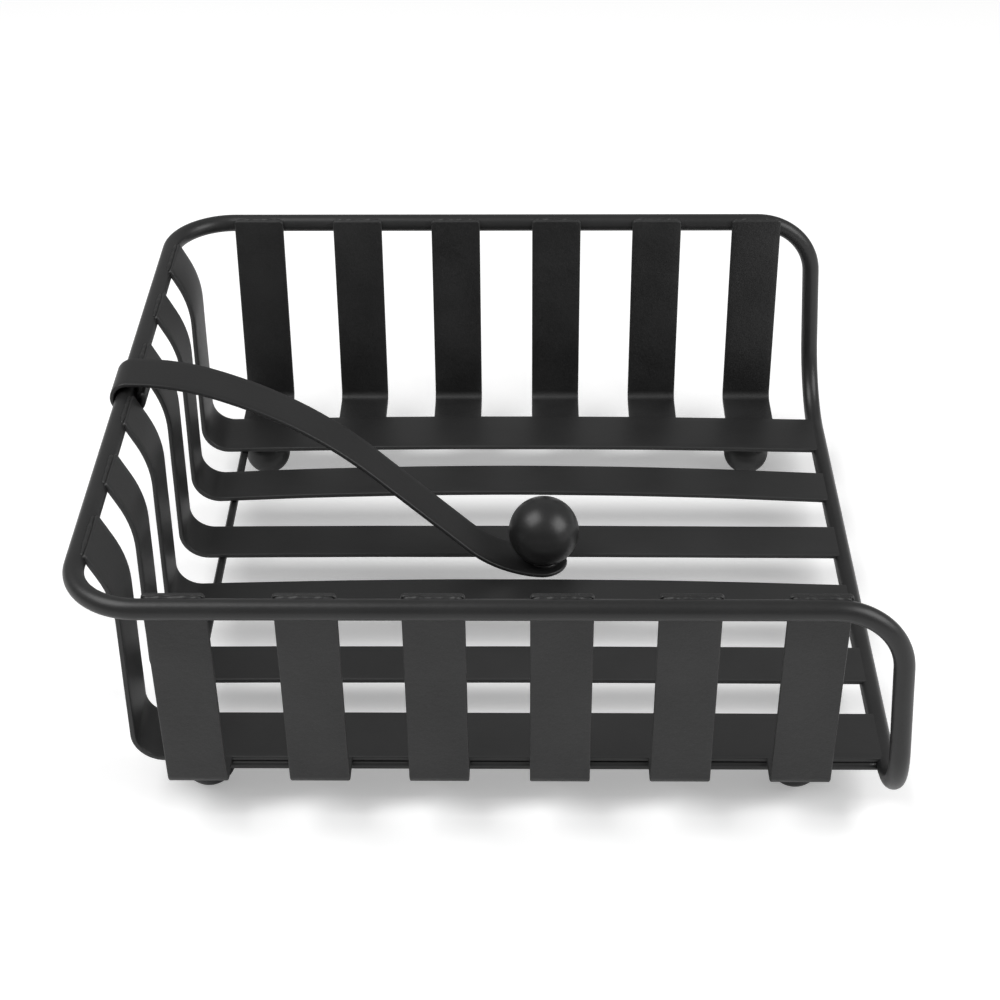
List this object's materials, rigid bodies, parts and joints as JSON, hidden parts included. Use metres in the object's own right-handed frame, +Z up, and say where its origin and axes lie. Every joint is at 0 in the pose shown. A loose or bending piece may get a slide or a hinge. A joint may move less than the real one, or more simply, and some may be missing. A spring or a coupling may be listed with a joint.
{
  "type": "napkin dispenser",
  "caption": "Open-sided flat napkin dispenser of coated steel strip on a wire rim, with ball feet and a hinged arm whose ball weighs the napkins down.",
  "frame": {"origin": "on the table, under the middle of the bounding box", "axes": "+Z up, +X towards the open side, +Y towards the back"},
  "size_m": [0.2091, 0.2102, 0.0807],
  "materials": {
    "rim_coat": "satin charcoal-black powder coat",
    "base_coat": "satin charcoal-black powder coat",
    "floor_coat": "satin charcoal-black powder coat",
    "wall_coat": "satin charcoal-black powder coat with a fine grain",
    "foot_coat": "satin charcoal-black powder coat",
    "arm_coat": "satin charcoal-black powder coat",
    "ball_coat": "satin charcoal-black powder coat, slightly glossier than the bands"
  },
  "bodies": {
    "basket": {"rim_wire": "rim_coat", "base_wire": "base_coat", "floor_band_1": "floor_coat", "floor_band_2": "floor_coat", "floor_band_3": "floor_coat", "floor_band_4": "floor_coat", "floor_band_5": "floor_coat", "floor_band_6": "floor_coat", "back_band_1": "wall_coat", "back_band_2": "wall_coat", "back_band_3": "wall_coat", "back_band_4": "wall_coat", "back_band_5": "wall_coat", "back_band_6": "wall_coat", "front_band_1": "wall_coat", "front_band_2": "wall_coat", "front_band_3": "wall_coat", "front_band_4": "wall_coat", "front_band_5": "wall_coat", "front_band_6": "wall_coat", "front_left_foot": "foot_coat", "front_right_foot": "foot_coat", "back_left_foot": "foot_coat", "back_right_foot": "foot_coat"},
    "arm": {"weight_arm": "arm_coat", "weight_ball": "ball_coat"}
  },
  "joints": [
    {"name": "arm_hinge", "type": "hinge", "parent": "basket", "child": "arm", "pos_m": [-0.1005, 0, 0.0752], "axis": [0, -1, 0], "range_deg": [0, 230]}
  ]
}
